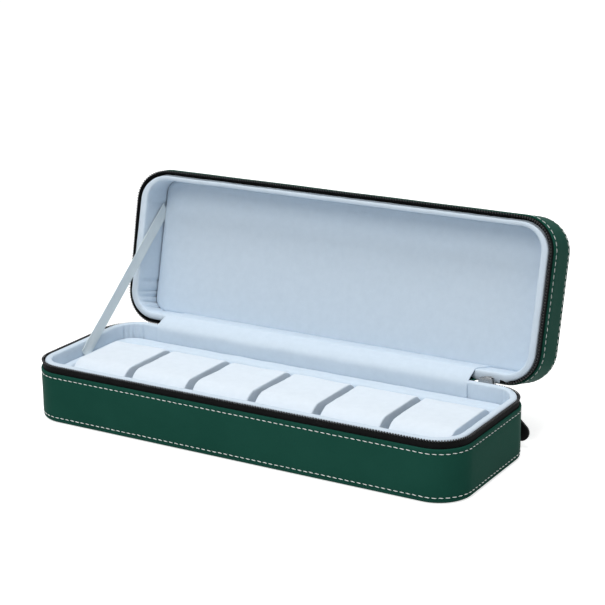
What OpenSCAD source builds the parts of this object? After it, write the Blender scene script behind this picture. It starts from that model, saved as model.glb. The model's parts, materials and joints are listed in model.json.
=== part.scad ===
// Zipped travel case for six watches, standing open with its lid held by a ribbon.
// Millimetres. +X runs along the long side, +Y to the hinge side, +Z up.
// The origin is the centre of the flat underside of the base.

/* [Case] */
// Outside length of the leather case
case_l = 320; // [290:1:350]
// Outside depth of the leather case, front to hinge
case_d = 110; // [104:1:130]
// Radius of the upright corners, outside
corner_r = 23; // [20:1:30]
// Height of the base's leather wall
base_h = 34.5; // [32:0.5:50]
// Height of the lid's leather wall
lid_h = 27; // [22:0.5:40]
// How far each zip tape stands clear of its leather wall
tape_stand = 6; // [5.5:0.5:8]
// Angle from shut to open at which the ribbon holds the lid
lid_open = 104; // [98:1:108]
// Distance of the lid's turning axis behind the back wall
hinge_back = 0.4; // [0.2:0.1:1.5]
// Distance of the lid's turning axis below the parting plane
hinge_below = 1.3; // [0.5:0.1:2.5]

/* [Layers] */
// Thickness of the outer leather
leather_t = 1.2; // [0.8:0.1:1.6]
// Rounding of the bottom and top panels' edges
edge_r = 2.4; // [2:0.1:2.9]
// Thickness of the stiffening board in the walls and panels
board_t = 1.8; // [1.5:0.1:2.4]
// How far the wall boards rise above the leather edge
board_rise = 1; // [0.5:0.1:1.4]
// Thickness of the zip tape
tape_t = 0.8; // [0.5:0.1:1]
// Depth of zip tape that is sewn in under the leather
tape_sewn = 7; // [5:0.5:9]
// Thickness of the padded velvet wall lining
lining_t = 4.5; // [4:0.1:6]
// Thickness of the lining's rolled rim
rim_t = 3.4; // [2.8:0.1:3.6]
// Thickness of the padding on the lid's inner panel
panel_pad_t = 5.3; // [4:0.1:8]
// Thickness of the thin board behind that padding
panel_board_t = 1.2; // [0.8:0.1:2]
// Rise of the padded panel from its edge to its middle
panel_crown = 1; // [0.4:0.1:2]
// Gap round the padded panel
panel_gap = 0.4; // [0.2:0.1:1]
// Thickness of the velvet floor pad
floor_pad_t = 2; // [1:0.1:4]

/* [Tray] */
// Height of the tray frame, floor pad to ledge
tray_h = 26; // [20:0.5:28]
// Gap between the tray frame and the wall lining
tray_gap = 0.2; // [0.1:0.05:0.5]
// Thickness of the dividers between the slots
divider_t = 2; // [1:0.1:2.6]
// Width of the tray frame beyond the row of slots, at each end
tray_end_w = 7.3; // [6:0.1:10]
// Height of the dividers
divider_h = 15; // [8:1:20]
// How far the row of slots sits behind the middle of the case
tray_shift = 0.5; // [0:0.1:2]

/* [Pillows] */
// Gap between neighbouring pillows
pillow_gap = 4; // [3.4:0.1:4.4]
// Length of a pillow, front to hinge side
pillow_l = 65; // [58:1:72]
// Height of a pillow's side seam
pillow_h = 30.4; // [28:0.2:31]
// Length of the pillow's flat top
pillow_flat = 47; // [40:1:50]
// Drop of the sloping shoulders from the flat top
shoulder_drop = 8.2; // [6:0.2:12]
// Rise of the pillow's middle above its side seams
pillow_crown = 1; // [0.4:0.1:1.4]
// Room between a pillow and the frame round it
slot_clear = 1.5; // [1:0.1:2]
// Height of a seated pillow over the floor pad
pillow_seat = 0.2; // [0.1:0.05:0.4]
// Thickness of the wadding between a pillow's cover and its foam core
wadding_t = 6; // [5:0.5:8]

/* [Zip] */
// Depth of the coil that edges the tape
coil_h = 1.4; // [1.2:0.1:1.8]
// Width of the coil
coil_w = 1.7; // [1.4:0.1:1.9]
// Gap between each coil or rim and the parting plane
shut_gap = 0.1; // [0.1:0.05:0.3]
// Distance from the back left corner to the zip's left end
zip_left_gap = 14; // [8:1:30]
// Distance from the back right corner to the zip's right end
zip_right_gap = 19; // [18.5:0.5:30]
// Length of the zip slider
slider_l = 10; // [9:0.5:11]
// Width of the zip slider across both tapes
slider_w = 8.6; // [8:0.1:9]
// Thickness of the slider's plates
plate_t = 0.9; // [0.7:0.1:1]
// Free room between the slider and the tape or coil
slider_clear = 0.2; // [0.15:0.05:0.3]
// Free run of the slider from its parked place towards the corner
slider_run = 1; // [0.5:0.5:2]
// Distance from the end of that run to the start of the corner
slider_in = 3; // [1:0.5:3]

/* [Pull] */
// Radius of the bail's wire
bail_wire_r = 0.5; // [0.4:0.05:0.6]
// Radius of the pull link's wire
link_wire_r = 0.5; // [0.4:0.05:0.55]
// Length of the pull link, bail to end bar
link_l = 8; // [7:0.5:12]
// Thickness of the leather pull tab
tab_t = 2; // [1.4:0.1:2.2]
// Distance of the tab's round end from the bail
tab_reach = 38.3; // [30:0.1:39]
// Radius of the tab's round end
tab_r = 6; // [4.5:0.1:7]
// Width of the tab's neck inside the link
tab_neck = 3.6; // [3:0.1:3.8]
// Thickness of leather in the tab's loop, round the link's end bar
tab_loop_t = 0.7; // [0.5:0.1:1]
// Gap between the hanging pull and the back wall
pull_gap = 0.35; // [0.2:0.05:0.8]
// Slope at which the pull hangs, below the line of the zip
pull_slope = 53; // [45:1:56]

/* [Hinge and ribbon] */
// Thickness of the leather spine over the hinge
spine_t = 1; // [0.8:0.1:1.2]
// Thickness of the velvet strip inside the hinge
strip_t = 0.8; // [0.5:0.1:1]
// Width of the stay ribbon
ribbon_w = 9.5; // [8:0.5:12]
// Thickness of the stay ribbon
ribbon_t = 0.4; // [0.3:0.05:0.5]
// Gap between the ribbon and the wall lining
ribbon_gap = 0.2; // [0.1:0.05:0.3]
// Place of the ribbon's lower end, ahead of the middle of the case
ribbon_foot_y = 3; // [0:1:12]
// Place of the ribbon's upper end, ahead of the middle of the case
ribbon_head_y = 24; // [16:1:28]

/* [Hidden] */
$fn = 48;

// Depths below the outside face, measured inwards through the wall
in_leather = leather_t;
in_tape = leather_t + tape_t;
in_board = leather_t + board_t;
in_rim = in_board + lining_t - rim_t;
in_lining = in_board + lining_t;
coil_mid = leather_t + tape_t / 2;

// Heights of the parting plane and of the shut case
seam_z = base_h + tape_stand;
shut_h = seam_z + tape_stand + lid_h;
hinge_y = case_d / 2 + hinge_back;
hinge_z = seam_z - hinge_below;

// Levels of the floor, which serve the base from below and the lid from above
board_z = leather_t;
floor_z = leather_t + board_t;
pad_z = floor_z + floor_pad_t;
ledge_z = pad_z + tray_h;

// Height of the lining's rolled rim over the step below it
step_low = 1.5;
rim_step = tape_stand - step_low;

// The row of slots
pillow_count = 6;
tray_open_l = case_l - 2 * (in_lining + tray_gap + tray_end_w);
pitch = (tray_open_l - 2 * slot_clear + pillow_gap) / pillow_count;
pillow_w = pitch - pillow_gap;
tray_open_d = pillow_l + 2 * slot_clear;
tray_open_r = 3;

// How far a cut runs past what it cuts
over = 1;

// The slider stands where the straight back stretch of the zip ends
slider_x = case_l / 2 - corner_r - slider_in - slider_run - slider_l / 2;
zip_left = case_l / 2 - corner_r - zip_left_gap;
zip_right = case_l / 2 - corner_r - zip_right_gap;
slider_y = case_d / 2 - coil_mid;
channel_half = coil_w / 2 + slider_clear;
coil_run_in = 0.3;
tape_tail_l = 4;
coil_end_x = slider_x + slider_l / 2 + slider_run + coil_run_in;
lid_tape_end_x = slider_x + slider_l / 2 + slider_run + tape_tail_l;
stop_l = 1.2;
bail_y = slider_y + channel_half + plate_t;
bar_r = link_wire_r * 1.1;
loop_bore_r = bar_r + slider_clear;
loop_r = loop_bore_r + tab_loop_t;
link_y = case_d / 2 + pull_gap + loop_r;

// The bail is just wide enough for the sloping link, and the link for the bail's leg
wire_room = bail_wire_r + link_wire_r + slider_clear;
bail_half = wire_room / cos(pull_slope);
link_half = bail_half * sin(pull_slope) + wire_room;
link_bend = link_wire_r + 0.3;

colour_leather = [0.11, 0.28, 0.23];
colour_tape = [0.07, 0.07, 0.08];
colour_velvet = [0.86, 0.90, 0.94];
colour_board = [0.72, 0.62, 0.46];
colour_foam = [0.93, 0.92, 0.86];
colour_metal = [0.80, 0.80, 0.82];
colour_ribbon = [0.66, 0.72, 0.75];

// ---- Shared shapes ----

// Rounded rectangle of the case's outline, drawn in by a distance
module outline(inset) {
    l = case_l - 2 * inset;
    d = case_d - 2 * inset;
    r = corner_r - inset;
    square([l - 2 * r, d], center = true);
    square([l, d - 2 * r], center = true);
    for (sx = [-1, 1], sy = [-1, 1])
        translate([sx * (l / 2 - r), sy * (d / 2 - r)]) circle(r);
}

// Upright ring between two depths and two levels
module ring(from_in, to_in, z_low, z_high) {
    translate([0, 0, z_low]) linear_extrude(z_high - z_low) difference() {
        outline(from_in);
        outline(to_in);
    }
}

// Flat plate drawn in by a distance
module plate(inset, z_low, z_high) {
    translate([0, 0, z_low]) linear_extrude(z_high - z_low) outline(inset);
}

// Carries a profile round the outline; profile x is minus the depth, y is the level
module around() {
    run_x = case_l - 2 * corner_r;
    run_y = case_d - 2 * corner_r;
    for (s = [0, 180]) {
        rotate([0, 0, s]) translate([case_l / 2, run_y / 2, 0])
            rotate([90, 0, 0]) linear_extrude(run_y) children();
        rotate([0, 0, s]) translate([-run_x / 2, case_d / 2, 0])
            rotate([90, 0, 90]) linear_extrude(run_x) children();
        for (turn = [0, 1])
            rotate([0, 0, s]) mirror([turn, 0, 0]) translate([run_x / 2, run_y / 2, 0])
                rotate_extrude(angle = 90) translate([corner_r, 0]) children();
    }
}

// The lid's pieces are drawn shut, upside down on the base's levels, and swung open
module as_lid() {
    translate([0, hinge_y, hinge_z]) rotate([-lid_open, 0, 0])
        translate([0, -hinge_y, -hinge_z])
            translate([0, 0, shut_h]) mirror([0, 0, 1]) children();
}

// The back stretch of the wall between two places along the case
module back_stretch(x_low, x_high) {
    translate([x_low, case_d / 2 - in_lining, 0]) cube([x_high - x_low, in_lining + over, seam_z]);
}

// Point at the share t of a curve with two end points and two handles
function curve(a, b, c, d, t) =
    pow(1 - t, 3) * a + 3 * t * pow(1 - t, 2) * b + 3 * t * t * (1 - t) * c + pow(t, 3) * d;

// Points along such a curve, moved sideways by a distance
function curve_side(a, b, c, d, side, steps) = [
    for (i = [0:steps])
        let (t = i / steps,
             p = curve(a, b, c, d, t),
             q = curve(a, b, c, d, t + 0.01) - curve(a, b, c, d, t - 0.01))
        p + side * [-q[1], q[0]] / norm(q)
];

// Turns a point of the shut lid's cross-section, depth and level, to the open lid
function opened(p) = [
    hinge_y + (p[0] - hinge_y) * cos(lid_open) + (p[1] - hinge_z) * sin(lid_open),
    hinge_z - (p[0] - hinge_y) * sin(lid_open) + (p[1] - hinge_z) * cos(lid_open)
];
open_way = [sin(lid_open), cos(lid_open)];

// Strip of even thickness that follows a curve in the cross-section, along the case
module strip(a, b, c, d, thick, x_low, x_high) {
    steps = 10;
    translate([x_low, 0, 0]) rotate([90, 0, 90]) linear_extrude(x_high - x_low)
        polygon(concat(curve_side(a, b, c, d, thick / 2, steps),
            [for (i = [steps:-1:0]) curve_side(a, b, c, d, -thick / 2, steps)[i]]));
}

// Closed outline with an arc of its own radius at each corner [y, z, radius]
function rounded(corners, steps) = [
    for (i = [0:len(corners) - 1])
        let (n = len(corners),
             p = [corners[i][0], corners[i][1]],
             before = corners[(i + n - 1) % n],
             after = corners[(i + 1) % n],
             u = ([before[0], before[1]] - p) / norm([before[0], before[1]] - p),
             v = ([after[0], after[1]] - p) / norm([after[0], after[1]] - p),
             half = acos(u * v) / 2,
             mid = (u + v) / norm(u + v),
             centre = p + mid * corners[i][2] / sin(half),
             first = atan2(-mid[1], -mid[0]) - (90 - half))
        for (k = [0:steps])
            let (a = first + k * (180 - 2 * half) / steps)
            centre + corners[i][2] * [cos(a), sin(a)]
];

// Closed skin over a stack of like outlines, with a point closing each end
module skin(rings, low_point, high_point) {
    n = len(rings[0]);
    m = len(rings);
    points = concat([for (r = rings) each r], [low_point, high_point]);
    sides = [for (i = [0:m - 2], j = [0:n - 1])
        let (a = i * n + j, b = i * n + (j + 1) % n)
        each [[a, a + n, b], [b, a + n, b + n]]];
    low = [for (j = [0:n - 1]) [j, (j + 1) % n, m * n]];
    high = [for (j = [0:n - 1]) [(m - 1) * n + (j + 1) % n, (m - 1) * n + j, m * n + 1]];
    polyhedron(points, concat(sides, low, high));
}

// ---- Base and lid shells, drawn once for a wall of height h ----

// Leather panel with its edge turned up to the wall
module edge_panel() {
    color(colour_leather) {
        plate(edge_r, 0, leather_t);
        around() translate([-edge_r, edge_r]) intersection() {
            difference() {
                circle(edge_r);
                circle(edge_r - leather_t);
            }
            translate([0, -edge_r]) square(edge_r);
        }
    }
}

module leather_wall(h) {
    color(colour_leather) ring(0, in_leather, edge_r, h);
}

module panel_board() {
    color(colour_board) plate(edge_r, board_z, floor_z);
}

// Wall board with a rebate for the sewn edge of the tape
module wall_board(h) {
    color(colour_board) difference() {
        ring(in_leather, in_board, floor_z, h + board_rise);
        ring(in_leather - over, in_tape, h - tape_sewn, h + board_rise + over);
    }
}

module zip_tape(h) {
    color(colour_tape) ring(in_leather, in_tape, h - tape_sewn, h + tape_stand - shut_gap - coil_h);
}

module zip_coil(h) {
    top = h + tape_stand - shut_gap;
    low = top - coil_h;
    cut = coil_h / 4;
    color(colour_tape) around() translate([-coil_mid, 0]) polygon([
        [-coil_w / 2 + cut, low], [coil_w / 2 - cut, low], [coil_w / 2, low + cut],
        [coil_w / 2, top - cut], [coil_w / 2 - cut, top], [-coil_w / 2 + cut, top],
        [-coil_w / 2, top - cut], [-coil_w / 2, low + cut]]);
}

// Padded wall lining with its rolled rim
module lining_wall(h) {
    step_z = h + tape_stand - rim_step;
    crown_z = h + tape_stand - shut_gap - rim_t / 2;
    color(colour_velvet) around() {
        translate([-in_lining, floor_z]) square([lining_t, step_z - floor_z]);
        translate([-in_lining, step_z - over]) square([rim_t, crown_z - step_z + over]);
        translate([-in_lining + rim_t / 2, crown_z]) circle(rim_t / 2);
    }
}

// ---- Base ----

module base_bottom_panel() edge_panel();
module base_leather_wall() leather_wall(base_h);
module base_wall_board() wall_board(base_h);
module base_bottom_board() panel_board();
module base_lining_wall() lining_wall(base_h);

module base_zip_tape() difference() {
    zip_tape(base_h);
    color(colour_tape) back_stretch(-zip_left, zip_right);
}

module base_zip_coil() difference() {
    zip_coil(base_h);
    color(colour_tape) back_stretch(-zip_left, coil_end_x);
}

// Metal stop that ends the slider's travel, seated on the tape's edge
module zip_end_stop() {
    stop_z = seam_z - shut_gap - coil_h;
    color(colour_metal) translate([zip_right, slider_y - coil_w / 2, stop_z])
        cube([stop_l, coil_w, coil_h]);
}

module base_floor_pad() {
    color(colour_velvet) plate(in_lining + tray_gap, floor_z, pad_z);
}

// Velvet-covered frame whose top is the ledge round the pillows
module tray_frame() {
    l = tray_open_l - 2 * tray_open_r;
    d = tray_open_d - 2 * tray_open_r;
    color(colour_velvet) difference() {
        plate(in_lining + tray_gap, pad_z, ledge_z);
        translate([0, tray_shift, pad_z - over]) linear_extrude(tray_h + 2 * over) {
            square([l, tray_open_d], center = true);
            square([tray_open_l, d], center = true);
            for (sx = [-1, 1], sy = [-1, 1])
                translate([sx * l / 2, sy * d / 2]) circle(tray_open_r);
        }
    }
}

module tray_dividers() {
    color(colour_velvet) for (i = [1:pillow_count - 1])
        translate([(i - pillow_count / 2) * pitch - divider_t / 2, tray_shift - tray_open_d / 2, pad_z])
            cube([divider_t, tray_open_d, divider_h]);
}

// ---- Pillows ----

// Cross-section of a pillow, front to back
pillow_profile = rounded([
    [-pillow_l / 2, 0, 4], [pillow_l / 2, 0, 4],
    [pillow_l / 2, pillow_h - shoulder_drop, 5], [pillow_flat / 2, pillow_h, 7],
    [-pillow_flat / 2, pillow_h, 7], [-pillow_l / 2, pillow_h - shoulder_drop, 5]], 4);

// Crowned cushion: each step is [distance from the side seam, draw-in of the outline]
module pillow_form() {
    side_roll = [[0, 1.6], [0.5, 0.7], [1.4, 0.2], [3.2, 0]];
    inner = [for (i = [1:4]) 3.2 + (pillow_w / 2 - 3.2) * i / 4];
    half = concat(side_roll, [for (x = inner) [x, 0]]);
    stations = concat(
        [for (s = half) [s[0] - pillow_w / 2, s[1]]],
        [for (i = [len(half) - 2:-1:0]) [pillow_w / 2 - half[i][0], half[i][1]]]);
    rings = [for (s = stations)
        let (lift = pillow_crown * (1 - pow(2 * s[0] / pillow_w, 2)),
             sy = 1 - 2 * s[1] / pillow_l + lift / pillow_l,
             sz = 1 - 2 * s[1] / pillow_h)
        [for (p = pillow_profile)
            [s[0], p[0] * sy, s[1] + p[1] * sz + lift * p[1] / pillow_h]]];
    bulge = 0.3;
    skin(rings, [-pillow_w / 2 - bulge, 0, pillow_h / 2], [pillow_w / 2 + bulge, 0, pillow_h / 2]);
}

module place_pillow(i) {
    translate([(i - (pillow_count + 1) / 2) * pitch, tray_shift, pad_z + pillow_seat]) children();
}

module core_block() {
    translate([-pillow_w / 2 + wadding_t, -pillow_flat / 2, wadding_t])
        cube([pillow_w - 2 * wadding_t, pillow_flat, pillow_h - 2 * wadding_t]);
}

module pillow_cover(i) {
    color(colour_velvet) place_pillow(i) difference() {
        pillow_form();
        core_block();
    }
}

module pillow_core(i) {
    color(colour_foam) place_pillow(i) core_block();
}

// ---- Lid ----

module lid_top_panel() as_lid() edge_panel();
module lid_leather_wall() as_lid() leather_wall(lid_h);
module lid_top_board() as_lid() panel_board();

// Room cut for the slider in the lid's rim, where its lining is loose over the zip's end
notch_margin = 1;
notch_past_tail = 2;
notch_low_x = zip_right - notch_margin;
notch_high_x = lid_tape_end_x + notch_past_tail;

module slider_notch() {
    translate([notch_low_x, case_d / 2 - in_lining - over, lid_h])
        cube([notch_high_x - notch_low_x, in_lining + 2 * over, tape_stand + over]);
}

module lid_wall_board() as_lid() difference() {
    wall_board(lid_h);
    color(colour_board) slider_notch();
}

module lid_zip_tape() as_lid() difference() {
    zip_tape(lid_h);
    color(colour_tape) back_stretch(-zip_left, lid_tape_end_x);
}

module lid_zip_coil() as_lid() difference() {
    zip_coil(lid_h);
    color(colour_tape) back_stretch(-zip_left, lid_tape_end_x);
}

module lid_lining_wall() as_lid() difference() {
    lining_wall(lid_h);
    color(colour_velvet) slider_notch();
}

module lid_panel_board() {
    color(colour_board) as_lid() plate(in_lining + panel_gap, floor_z, floor_z + panel_board_t);
}

// Padded panel: its outline is drawn in step by step while it rises to its crown
module lid_lining_panel() {
    edge_z = floor_z + panel_board_t + panel_pad_t - panel_crown;
    start_z = floor_z + panel_board_t;
    steps = [[0, start_z], [0, edge_z - 2.4], [0.4, edge_z - 1], [1.4, edge_z - 0.2],
        [4, edge_z + panel_crown * 0.3], [9, edge_z + panel_crown * 0.6],
        [16, edge_z + panel_crown * 0.85], [30, edge_z + panel_crown]];
    inset = in_lining + panel_gap;
    rings = [for (s = steps)
        let (l = case_l / 2 - inset - s[0],
             d = case_d / 2 - inset - s[0],
             r = max(corner_r - inset - s[0], 2))
        [for (p = rounded([[-l, -d, r], [l, -d, r], [l, d, r], [-l, d, r]], 8)) [p[0], p[1], s[1]]]];
    color(colour_velvet) as_lid()
        mirror([1, 0, 0]) skin(rings, [0, 0, start_z], [0, 0, edge_z + panel_crown]);
}

// ---- Soft hinge, ribbon and zip end ----

hinge_margin = 3;
// Shares of the tape's stand over which the two strips leave the walls straight
strip_bow = 0.8;
spine_bow = 0.6;

// Leather spine from the edge of the base's back wall to the edge of the lid's
module hinge_spine_leather() {
    wall_y = case_d / 2 - leather_t / 2;
    start = [wall_y, base_h];
    end = opened([wall_y, seam_z + tape_stand]);
    color(colour_leather)
        strip(start, start + [0, tape_stand * strip_bow], end - open_way * tape_stand * spine_bow, end,
            spine_t, -zip_left + hinge_margin, zip_right - hinge_margin);
}

// Velvet strip that carries the lining over the hinge, rim to rim
module hinge_lining_strip() {
    behind_rim = 0.1;
    sewn_in = 0.5;
    back_y = case_d / 2 - in_rim + strip_t / 2 + behind_rim;
    start = [back_y, seam_z - rim_step + sewn_in];
    end = opened([back_y, seam_z + rim_step - sewn_in]);
    color(colour_velvet)
        strip(start, start + [0, tape_stand * strip_bow], end - open_way * tape_stand * strip_bow, end,
            strip_t, -zip_left + hinge_margin, zip_right - hinge_margin);
}

// Taut ribbon along the left walls, from beside the first pillow to the lid's panel
module stay_ribbon() {
    over_ledge = 0.3;
    under_panel = 1;
    x_wall = -case_l / 2 + in_lining + ribbon_gap;
    foot = [-ribbon_foot_y, ledge_z + over_ledge];
    head = opened([-ribbon_head_y, shut_h - floor_z - panel_board_t - panel_pad_t - under_panel]);
    way = (head - foot) / norm(head - foot);
    side = [-way[1], way[0]] * ribbon_w / 2;
    flat = [ribbon_w / 2 / way[1], 0];
    color(colour_ribbon) translate([x_wall, 0, 0]) rotate([90, 0, 90]) linear_extrude(ribbon_t)
        polygon([foot - flat, foot + flat, head - side, head + side]);
}

// Loose end of the lid's tape, bent down into the slider's mouth
module lid_zip_tail() {
    slice_l = 0.3;
    slice_h = 2.4;
    mouth = [coil_end_x - 0.9, slider_y, seam_z + 2.2];
    lid_end_y = case_d / 2 - corner_r
        + sqrt(pow(corner_r - coil_mid, 2) - pow(max(lid_tape_end_x - (case_l / 2 - corner_r), 0), 2));
    color(colour_tape) hull() {
        translate(mouth) cube([slice_l, tape_t, slice_h], center = true);
        translate([0, hinge_y, hinge_z]) rotate([-lid_open, 0, 0])
            translate([lid_tape_end_x - slice_l, lid_end_y - hinge_y, seam_z + tape_stand / 2 - hinge_z])
                cube([slice_l, tape_t / 2, slice_h], center = true);
    }
}

// ---- Slider and pull ----

// Slider body: two plates, a wedge between them, turned-in lips and a bail
module zip_slider() {
    half_l = slider_l / 2;
    half_w = slider_w / 2;
    cut = 1;
    tail_run = 1.5;
    nose_run = 2;
    lip_t = 0.7;
    wedge_l = 3;
    wedge_w = 1.2;
    slot = tape_t / 2 + slider_clear;
    color(colour_metal) translate([slider_x, slider_y, seam_z]) {
        for (side = [0, 1]) mirror([0, side, 0]) {
            translate([0, channel_half + plate_t, 0]) rotate([90, 0, 0]) linear_extrude(plate_t)
                polygon([[-half_l, 2 * cut - half_w], [tail_run - half_l, cut - half_w],
                    [half_l - nose_run, -half_w], [half_l, cut - half_w],
                    [half_l, half_w - cut], [half_l - nose_run, half_w],
                    [tail_run - half_l, half_w - cut], [-half_l, half_w - 2 * cut]]);
            for (up = [0, 1]) mirror([0, 0, up])
                translate([tail_run - half_l, slot, half_w - cut - lip_t])
                    cube([slider_l - tail_run - nose_run, channel_half - slot + plate_t / 2, lip_t]);
        }
        translate([half_l - cut - wedge_l, -channel_half - plate_t / 2, -wedge_w / 2])
            cube([wedge_l, 2 * channel_half + plate_t, wedge_w]);
    }
    color(colour_metal) translate([slider_x, link_y, seam_z]) {
        rotate_extrude(angle = 180) translate([bail_half, 0]) circle(bail_wire_r, $fn = 24);
        for (side = [-1, 1]) translate([side * bail_half, 0, 0]) rotate([90, 0, 0])
            cylinder(r = bail_wire_r, h = link_y - bail_y + plate_t / 2, $fn = 24);
    }
}

// Lays a piece drawn along +X from the bail down the slope of the pull
module along_pull() {
    translate([slider_x, link_y, seam_z]) rotate([0, pull_slope, 0]) children();
}

// Wire link: a bar through the bail, two bends, two legs and a straight end bar
module pull_link() {
    color(colour_metal) along_pull() {
        translate([0, 0, link_bend - link_half])
            cylinder(r = link_wire_r, h = 2 * (link_half - link_bend), $fn = 24);
        for (side = [0, 1]) mirror([0, 0, side]) {
            translate([link_bend, 0, link_half - link_bend]) rotate([90, 0, 0]) rotate([0, 0, 90])
                rotate_extrude(angle = 90) translate([link_bend, 0]) circle(link_wire_r, $fn = 24);
            translate([link_bend, 0, link_half]) rotate([0, 90, 0])
                cylinder(r = link_wire_r, h = link_l - link_bend, $fn = 24);
        }
        translate([link_l, 0, -link_half - link_wire_r])
            cylinder(r = bar_r, h = 2 * (link_half + link_wire_r), $fn = 24);
    }
}

// Leather tab: a loop round the link's end bar, a neck and a drop-shaped end
module pull_tab() {
    neck_l = 1.5;
    shoulder_x = link_l + loop_r + neck_l;
    slant = asin((tab_r - tab_neck / 2) / (tab_reach - shoulder_x));
    tip = [for (a = [-90 - slant:10:90 + slant]) [tab_reach + tab_r * cos(a), tab_r * sin(a)]];
    color([0.05, 0.05, 0.05]) along_pull() difference() {
        union() {
            translate([link_l, 0, -tab_neck / 2]) cylinder(r = loop_r, h = tab_neck);
            translate([0, tab_t / 2, 0]) rotate([90, 0, 0]) linear_extrude(tab_t)
                polygon(concat([[link_l, tab_neck / 2], [link_l, -tab_neck / 2],
                    [shoulder_x, -tab_neck / 2]], tip, [[shoulder_x, tab_neck / 2]]));
        }
        translate([link_l, 0, -tab_neck]) cylinder(r = loop_bore_r, h = 2 * tab_neck);
    }
}

// ---- Drawing ----

base_bottom_panel();
base_leather_wall();
base_wall_board();
base_bottom_board();
base_zip_tape();
base_zip_coil();
zip_end_stop();
base_lining_wall();
base_floor_pad();
tray_frame();
tray_dividers();
pillow_cover(1);  // pillow_1_cover
pillow_cover(2);  // pillow_2_cover
pillow_cover(3);  // pillow_3_cover
pillow_cover(4);  // pillow_4_cover
pillow_cover(5);  // pillow_5_cover
pillow_cover(6);  // pillow_6_cover
pillow_core(1);  // pillow_1_core
pillow_core(2);  // pillow_2_core
pillow_core(3);  // pillow_3_core
pillow_core(4);  // pillow_4_core
pillow_core(5);  // pillow_5_core
pillow_core(6);  // pillow_6_core
lid_leather_wall();
lid_top_panel();
lid_wall_board();
lid_top_board();
lid_zip_tape();
lid_zip_coil();
lid_lining_wall();
lid_panel_board();
lid_lining_panel();
hinge_spine_leather();
hinge_lining_strip();
stay_ribbon();
lid_zip_tail();
zip_slider();
pull_link();
pull_tab();
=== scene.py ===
import json
import math

import bmesh
import bpy
from mathutils import Matrix, Quaternion, Vector, noise
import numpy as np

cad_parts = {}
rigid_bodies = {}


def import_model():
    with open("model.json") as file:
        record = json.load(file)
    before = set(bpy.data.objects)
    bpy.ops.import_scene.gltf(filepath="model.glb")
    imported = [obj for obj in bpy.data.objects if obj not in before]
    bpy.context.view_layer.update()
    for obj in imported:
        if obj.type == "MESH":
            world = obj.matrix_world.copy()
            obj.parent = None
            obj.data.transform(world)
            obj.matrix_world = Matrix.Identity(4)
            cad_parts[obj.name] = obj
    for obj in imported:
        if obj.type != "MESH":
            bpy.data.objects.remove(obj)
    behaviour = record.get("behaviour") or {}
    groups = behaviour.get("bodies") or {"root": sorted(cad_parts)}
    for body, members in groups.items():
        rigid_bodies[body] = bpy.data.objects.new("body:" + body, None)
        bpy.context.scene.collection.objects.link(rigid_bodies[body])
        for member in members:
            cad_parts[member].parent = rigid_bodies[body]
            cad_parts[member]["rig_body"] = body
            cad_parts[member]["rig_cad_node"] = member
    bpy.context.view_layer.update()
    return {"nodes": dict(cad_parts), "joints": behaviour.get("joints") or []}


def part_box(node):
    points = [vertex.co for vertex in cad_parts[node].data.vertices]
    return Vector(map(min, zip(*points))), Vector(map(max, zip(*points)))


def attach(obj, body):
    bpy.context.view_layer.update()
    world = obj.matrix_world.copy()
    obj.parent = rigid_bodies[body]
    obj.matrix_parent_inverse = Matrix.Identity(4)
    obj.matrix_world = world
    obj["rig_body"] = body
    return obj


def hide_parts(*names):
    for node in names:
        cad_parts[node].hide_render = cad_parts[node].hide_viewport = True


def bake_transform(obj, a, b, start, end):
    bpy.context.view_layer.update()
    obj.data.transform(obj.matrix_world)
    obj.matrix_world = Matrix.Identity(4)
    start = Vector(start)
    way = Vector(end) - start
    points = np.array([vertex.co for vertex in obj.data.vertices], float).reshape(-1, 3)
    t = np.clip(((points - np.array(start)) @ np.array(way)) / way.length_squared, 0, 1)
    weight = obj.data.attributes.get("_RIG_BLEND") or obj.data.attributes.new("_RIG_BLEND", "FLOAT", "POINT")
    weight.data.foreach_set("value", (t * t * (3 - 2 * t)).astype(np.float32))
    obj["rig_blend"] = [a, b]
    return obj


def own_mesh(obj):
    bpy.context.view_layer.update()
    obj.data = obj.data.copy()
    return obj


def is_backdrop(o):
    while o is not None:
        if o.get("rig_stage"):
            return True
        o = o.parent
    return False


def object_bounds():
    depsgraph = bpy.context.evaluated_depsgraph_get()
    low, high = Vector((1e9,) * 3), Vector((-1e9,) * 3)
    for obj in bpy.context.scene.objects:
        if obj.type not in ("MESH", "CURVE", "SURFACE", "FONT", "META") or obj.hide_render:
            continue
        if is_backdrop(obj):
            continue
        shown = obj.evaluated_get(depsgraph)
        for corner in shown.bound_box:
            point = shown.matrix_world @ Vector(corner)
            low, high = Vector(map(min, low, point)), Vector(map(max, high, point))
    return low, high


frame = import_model()
bpy.ops.object.select_all(action="DESELECT")
mm = 0.001


# ---- Camera ----
# The photograph looks at the open case from the front right, a little above the rim, through
# a long lens. The numbers come from fitting the rim, wall and lid edges to the picture.
view_azimuth = math.radians(31.13)
view_elevation = math.radians(17.08)
view_roll = math.radians(-0.80)
view_target = Vector((0.0047, 0.0309, 0.0823))
view_distance = 1.195
lens_mm = 108.1

towards_camera = Vector((math.sin(view_azimuth) * math.cos(view_elevation),
                         -math.cos(view_azimuth) * math.cos(view_elevation),
                         math.sin(view_elevation)))
bpy.ops.object.camera_add(location=view_target + towards_camera * view_distance)
camera = bpy.context.object
camera.rotation_mode = "QUATERNION"
straight_view = (-towards_camera).to_track_quat("-Z", "Y")
camera.rotation_quaternion = straight_view @ Quaternion((0, 0, 1), view_roll)
camera.data.sensor_width = 36
camera.data.lens = lens_mm
bpy.context.scene.camera = camera


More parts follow.
